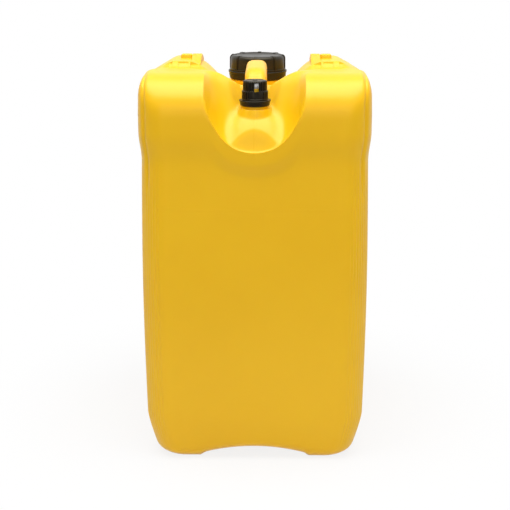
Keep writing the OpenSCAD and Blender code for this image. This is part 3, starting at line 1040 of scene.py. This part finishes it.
def build_plug():
    """The white plug in the small cap: a stem in the neck and a flange above its rim."""
    z0, z1 = plug_low[2], plug_high[2]
    r = (plug_high[0] - plug_low[0]) / 2
    stem = vent_bore / 2 - fit_gap
    shelf = vent_rim + 2.4
    profile = [(0, z0), (stem - 0.8, z0), (stem, z0 + 0.8), (stem, shelf), (r - 0.3, shelf),
               (r, shelf + 0.3), (r, z1 - 0.3), (r - 0.3, z1), (0, z1)]
    plug = lathe("plug_form", profile, 96, vent_y)
    finish_piece(plug, "vent_plug_seal", WHITE, "vent_liner", "vent_plug")


def build_seal():
    """The liner disc of the large cap, thicker at its rim than over the bore."""
    z0, z1 = seal_low[2], seal_high[2]
    r = (seal_high[0] - seal_low[0]) / 2
    step_r = filler_bore / 2 - 1
    profile = [(0, z0 + 0.5), (step_r - 0.5, z0 + 0.5), (step_r, z0), (r - 0.3, z0),
               (r, z0 + 0.3), (r, z1 - 0.3), (r - 0.3, z1), (0, z1)]
    disc = lathe("seal_form", profile, 128, filler_y)
    finish_piece(disc, "filler_seal_disc", WHITE, "filler_liner", "filler_seal")


finish_piece(build_tank(), "tank_shell", YELLOW, "can", "tank")
build_filler_cap()
build_filler_band()
build_vent_cap()
build_vent_band()
build_plug()
build_seal()


# Plain pale floor, white beyond it, and soft studio light. Reflections see white beyond the can
# and a dim room on the camera's side.
DIM = 0.12


def mirror_ray(tree, seen):
    return maths(tree, "MAXIMUM", seen["Is Glossy Ray"], seen["Is Transmission Ray"])


def studio_floor():
    w, front_y, back_y = 9.0, -1.1, 18.0
    mesh = bpy.data.meshes.new("floor")
    corners = [(-w, front_y, 0), (w, front_y, 0), (w, back_y, 0), (-w, back_y, 0)]
    mesh.from_pydata(corners, [], [(0, 1, 2, 3)])
    floor = placed("floor", mesh)
    material, tree, bsdf = new_material("pale_floor")
    bsdf.inputs["Base Color"].default_value = (0.8, 0.8, 0.8, 1)
    bsdf.inputs["Roughness"].default_value = 0.9
    bsdf.inputs["Specular IOR Level"].default_value = 0.1
    place = node(tree, "ShaderNodeTexCoord").outputs["Object"]
    away = node(tree, "ShaderNodeVectorMath", {0: place}, operation="LENGTH").outputs["Value"]
    far = ranged(tree, away, (0.16, 0.4), (0.84, 1.0), smooth=True)
    seen = node(tree, "ShaderNodeLightPath").outputs
    across = node(tree, "ShaderNodeSeparateXYZ", {"Vector": place}).outputs["Y"]
    beyond = ranged(tree, across, (-0.8, -0.35), smooth=True)
    ray = maths(tree, "MAXIMUM", seen["Is Camera Ray"], mirror_ray(tree, seen))
    strength = maths(tree, "MAXIMUM", seen["Is Camera Ray"], maths(tree, "MAXIMUM", beyond, DIM))
    white = node(tree, "ShaderNodeEmission", {"Color": (1, 1, 1, 1), "Strength": strength})
    blend = node(tree, "ShaderNodeMixShader", {0: maths(tree, "MULTIPLY", far, ray)})
    tree.links.new(bsdf.outputs[0], blend.inputs[1])
    tree.links.new(white.outputs[0], blend.inputs[2])
    tree.links.new(blend.outputs[0], tree.nodes["Material Output"].inputs["Surface"])
    mesh.materials.append(material)


def studio_world(ambient):
    world = bpy.data.worlds.new("studio")
    bpy.context.scene.world = world
    world.use_nodes = True
    tree = world.node_tree
    seen = node(tree, "ShaderNodeLightPath").outputs
    incoming = node(tree, "ShaderNodeNewGeometry").outputs["Incoming"]
    towards = node(tree, "ShaderNodeSeparateXYZ", {"Vector": incoming}).outputs["Y"]
    beyond = ranged(tree, towards, (0.8, 0.1), (DIM, 1.0), smooth=True)
    mirrored = mirror_ray(tree, seen)
    white = maths(tree, "MAXIMUM", seen["Is Camera Ray"], maths(tree, "MULTIPLY", mirrored, beyond))
    unseen = maths(tree, "SUBTRACT", 1.0, maths(tree, "MAXIMUM", seen["Is Camera Ray"], mirrored))
    strength = maths(tree, "ADD", white, maths(tree, "MULTIPLY", unseen, ambient))
    backdrop = tree.nodes["Background"]
    backdrop.inputs["Color"].default_value = (1, 1, 1, 1)
    tree.links.new(strength, backdrop.inputs["Strength"])


def softbox(name, place, target, width, depth, power):
    lamp = bpy.data.lights.new(name, "AREA")
    lamp.shape = "RECTANGLE"
    lamp.size = width
    lamp.size_y = depth
    lamp.energy = power
    box = placed(name, lamp)
    box.location = place
    box.rotation_euler = (Vector(target) - Vector(place)).to_track_quat("-Z", "Y").to_euler()


def studio_camera():
    """The photograph's view: its focal length is 1240 of the image's 510 pixels."""
    sensor, focal_px, image_px = 36, 1240, 510
    look_down, look_left = 15.6, 0.94
    lens = bpy.data.cameras.new("camera")
    lens.sensor_width = sensor
    lens.lens = sensor * focal_px / image_px
    camera = placed("camera", lens)
    camera.location = (0.021, -1.385, 0.580)
    camera.rotation_euler = (math.radians(90 - look_down), 0, math.radians(look_left))
    bpy.context.scene.camera = camera


studio_floor()
studio_world(0.38)
softbox("overhead", (0, -0.2, 1.5), (0, -0.08, 0.35), 1.5, 1.1, 25)
softbox("front_fill", (0.2, -2.2, 1.1), (0, 0, 0.22), 1.8, 1.4, 10.6)
studio_camera()

bpy.context.scene.view_settings.view_transform = "Standard"
